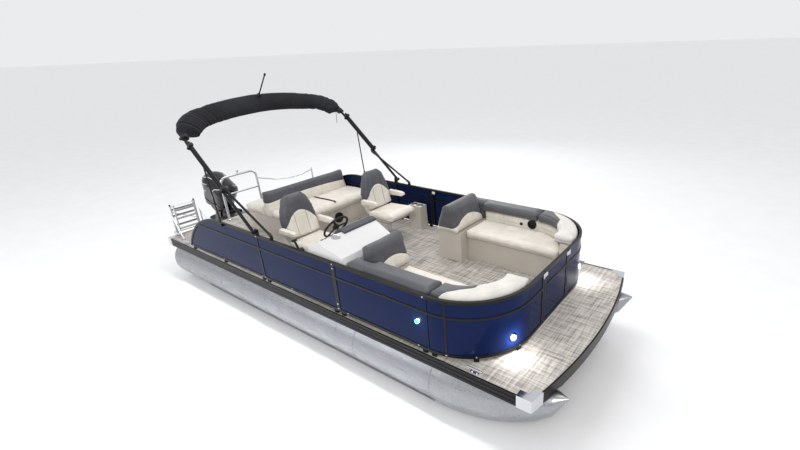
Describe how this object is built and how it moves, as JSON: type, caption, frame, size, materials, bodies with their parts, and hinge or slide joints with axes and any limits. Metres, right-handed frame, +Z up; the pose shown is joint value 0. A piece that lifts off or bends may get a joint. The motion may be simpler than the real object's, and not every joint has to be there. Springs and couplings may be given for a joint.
{
  "type": "pontoon boat",
  "caption": "Twin-tube pontoon boat with fenced deck, helm, chairs, lounges, folded bimini top and a tilting outboard.",
  "frame": {"origin": "centre of the overall box at the ground the keels stand on", "axes": "+X towards the bow, +Y to port, +Z up"},
  "size_m": [8.0242, 2.7214, 3.1896],
  "materials": {
    "aluminium": "brushed, welded",
    "channel": "mill finish",
    "plywood": "marine plywood, underside",
    "woven": "woven vinyl floor covering",
    "black_coat": "satin black powder coat",
    "navy_coat": "gloss navy",
    "chrome": "polished stainless steel",
    "gelcoat": "white gelcoat",
    "cream_vinyl": "soft cream vinyl",
    "grey_vinyl": "soft grey vinyl",
    "cream_plastic": "moulded seat base",
    "black_plastic": "satin",
    "canvas": "woven canvas",
    "motor_black": "gloss black",
    "engine_metal": "plain block",
    "lens": "clear lens"
  },
  "bodies": {
    "boat": {"tubes": "aluminium", "tube_noses": "aluminium", "risers": "channel", "cross_members": "channel", "motor_pod": "aluminium", "deck": "plywood", "floor_covering": "woven", "rub_rail": "black_coat", "corner_caps": "chrome", "cleats": "chrome", "fence_side_starboard": "black_coat", "fence_side_port": "black_coat", "fence_bow_starboard": "black_coat", "fence_bow_port": "black_coat", "side_panels_starboard": "navy_coat", "side_panels_port": "navy_coat", "bow_panels": "navy_coat", "helm_console": "gelcoat", "dash_hood": "grey_vinyl", "throttle": "black_plastic", "chair_pedestals": "chrome", "bow_bench_bases": "cream_plastic", "bow_bench_seats": "cream_vinyl", "bow_side_pads": "cream_vinyl", "bow_coamings": "grey_vinyl", "bow_corner_pads": "cream_vinyl", "bow_backrests": "grey_vinyl", "stern_lounge_base": "cream_plastic", "stern_lounge_seats": "cream_vinyl", "stern_lounge_back": "grey_vinyl", "drink_holder": "cream_plastic", "bimini_struts": "black_coat", "bimini_mounts": "black_coat", "tow_bar": "chrome", "stern_rail": "chrome", "ladder_bracket": "chrome", "clamp_bracket": "motor_black", "lamps": "lens", "speakers": "black_plastic"},
    "bow_gate": {"bow_gate_frame": "black_coat", "bow_gate_panel": "navy_coat"},
    "side_gate": {"side_gate_frame": "black_coat", "side_gate_panel": "navy_coat"},
    "helm_wheel": {"steering_wheel": "black_plastic"},
    "helm_chair": {"helm_seat": "cream_vinyl", "helm_backrest": "grey_vinyl"},
    "captain_chair": {"captain_seat": "cream_vinyl", "captain_backrest": "grey_vinyl"},
    "bimini": {"bimini_frame": "black_coat", "bimini_boot": "canvas", "mast_light": "black_plastic"},
    "boarding_ladder": {"ladder": "chrome"},
    "ladder_step": {"ladder_lower": "chrome"},
    "motor_tilt": {"swivel_bracket": "motor_black"},
    "motor_head": {"drive_leg": "motor_black", "cowl": "motor_black", "engine": "engine_metal"},
    "propeller": {"propeller": "motor_black"}
  },
  "joints": [
    {"name": "bow_gate_hinge", "type": "hinge", "parent": "boat", "child": "bow_gate", "pos_m": [3.4037, 0.297, 1.055], "axis": [0, 0, -1], "range_deg": [0, 95]},
    {"name": "side_gate_hinge", "type": "hinge", "parent": "boat", "child": "side_gate", "pos_m": [1.4577, 1.234, 1.055], "axis": [0, 0, 1], "range_deg": [0, 92]},
    {"name": "helm_turn", "type": "hinge", "parent": "boat", "child": "helm_wheel", "pos_m": [0.8897, -0.715, 1.49], "axis": [-0.8192, 0, 0.5736], "range_deg": [-720, 720]},
    {"name": "helm_chair_swivel", "type": "hinge", "parent": "boat", "child": "helm_chair", "pos_m": [0.3747, -0.715, 1.085], "axis": [0, 0, 1], "range_deg": [-180, 180]},
    {"name": "captain_chair_swivel", "type": "hinge", "parent": "boat", "child": "captain_chair", "pos_m": [0.4547, 0.6, 1.085], "axis": [0, 0, 1], "range_deg": [-180, 180]},
    {"name": "bimini_raise", "type": "hinge", "parent": "boat", "child": "bimini", "pos_m": [0.0497, 0, 1.447], "axis": [0, 1, 0], "range_deg": [0, 48]},
    {"name": "ladder_fold", "type": "hinge", "parent": "boat", "child": "boarding_ladder", "pos_m": [-2.7133, -0.938, 0.789], "axis": [0, -1, 0], "range_deg": [0, 140]},
    {"name": "ladder_unfold", "type": "hinge", "parent": "boarding_ladder", "child": "ladder_step", "pos_m": [-2.6933, -0.938, 1.225], "axis": [0, -1, 0], "range_deg": [0, 172]},
    {"name": "motor_tilt", "type": "hinge", "parent": "boat", "child": "motor_tilt", "pos_m": [-3.1353, 0, 0.69], "axis": [0, 1, 0], "range_deg": [-25, 35]},
    {"name": "motor_steer", "type": "hinge", "parent": "motor_tilt", "child": "motor_head", "pos_m": [-3.27125, 0, 0.75339], "axis": [0.4226, 0, 0.9063], "range_deg": [-30, 30]},
    {"name": "propeller_spin", "type": "hinge", "parent": "motor_head", "child": "propeller", "pos_m": [-3.96013, 0, 0.34088], "axis": [0.9063, 0, -0.4226], "continuous": true}
  ],
  "couplings": [
    {"joint": "helm_turn", "follows": "motor_steer", "ratio": 24}
  ]
}
